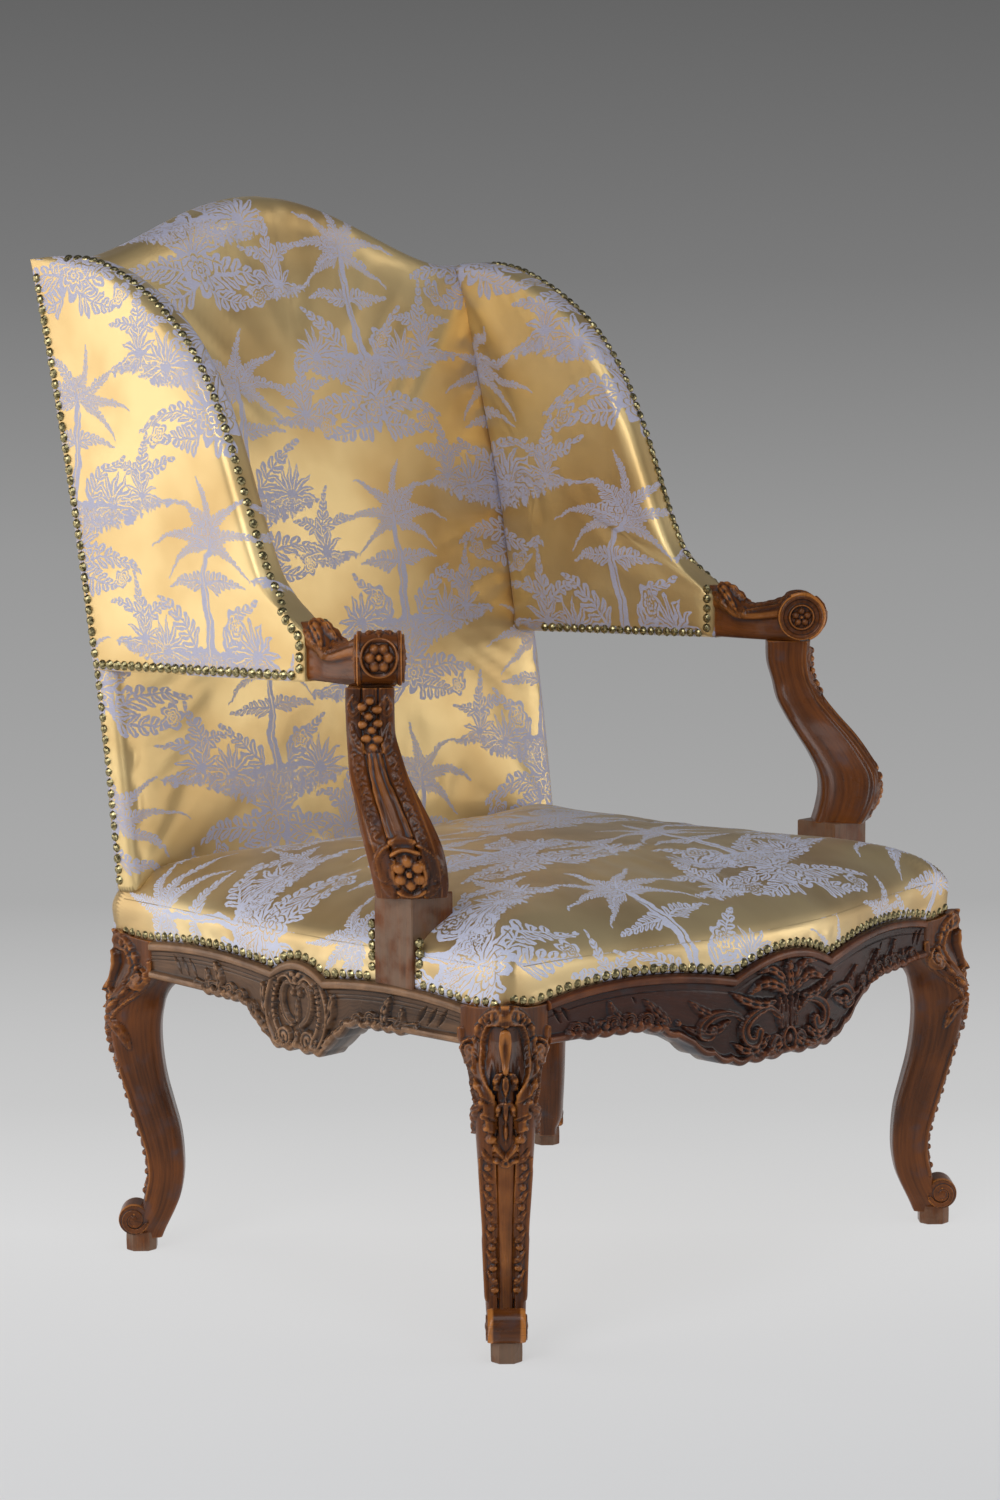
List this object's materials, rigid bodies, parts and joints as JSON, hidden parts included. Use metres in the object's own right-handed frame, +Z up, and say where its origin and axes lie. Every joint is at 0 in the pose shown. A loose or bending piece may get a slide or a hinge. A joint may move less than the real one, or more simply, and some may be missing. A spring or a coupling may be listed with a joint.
{
  "type": "wingback armchair",
  "caption": "Wing armchair with a padded seat, back and wings on a carved walnut frame with open arms and cabriole legs.",
  "frame": {"origin": "on the floor, under the middle of the whole chair", "axes": "+Z up, the sitter faces -Y, left (-X) and right (+X) as seen from the front"},
  "size_m": [0.8, 0.8058, 1.156],
  "materials": {
    "walnut": "old waxed walnut, carved, rubbed to a lighter brown on the edges",
    "beech": "plain planed beech",
    "silk": "gold satin with a blue-grey woven figure",
    "horsehair": "curled hair",
    "hessian": "coarse plain weave",
    "webbing": "twilled jute webbing",
    "steel": "bright iron wood screws"
  },
  "bodies": {
    "root": {"front_left_leg": "walnut", "front_right_leg": "walnut", "rear_left_post": "walnut", "rear_right_post": "walnut", "front_rail": "walnut", "left_rail": "walnut", "right_rail": "walnut", "rear_rail": "beech", "crest_rail": "beech", "back_lower_rail": "beech", "left_arm": "walnut", "right_arm": "walnut", "left_arm_support": "walnut", "right_arm_support": "walnut", "left_wing_post": "beech", "right_wing_post": "beech", "joint_pegs": "beech", "arm_support_screws": "steel", "seat_webbing_long": "webbing", "seat_webbing_cross": "webbing", "seat_hessian": "hessian", "seat_stuffing": "horsehair", "seat_cover": "silk", "back_webbing_upright": "webbing", "back_webbing_cross": "webbing", "back_hessian": "hessian", "back_stuffing": "horsehair", "inside_back_cover": "silk", "outside_back_cover": "silk", "left_wing_hessian": "hessian", "right_wing_hessian": "hessian", "left_wing_stuffing": "horsehair", "right_wing_stuffing": "horsehair", "left_wing_inside_cover": "silk", "right_wing_inside_cover": "silk", "left_wing_outside_cover": "silk", "right_wing_outside_cover": "silk"}
  },
  "joints": []
}
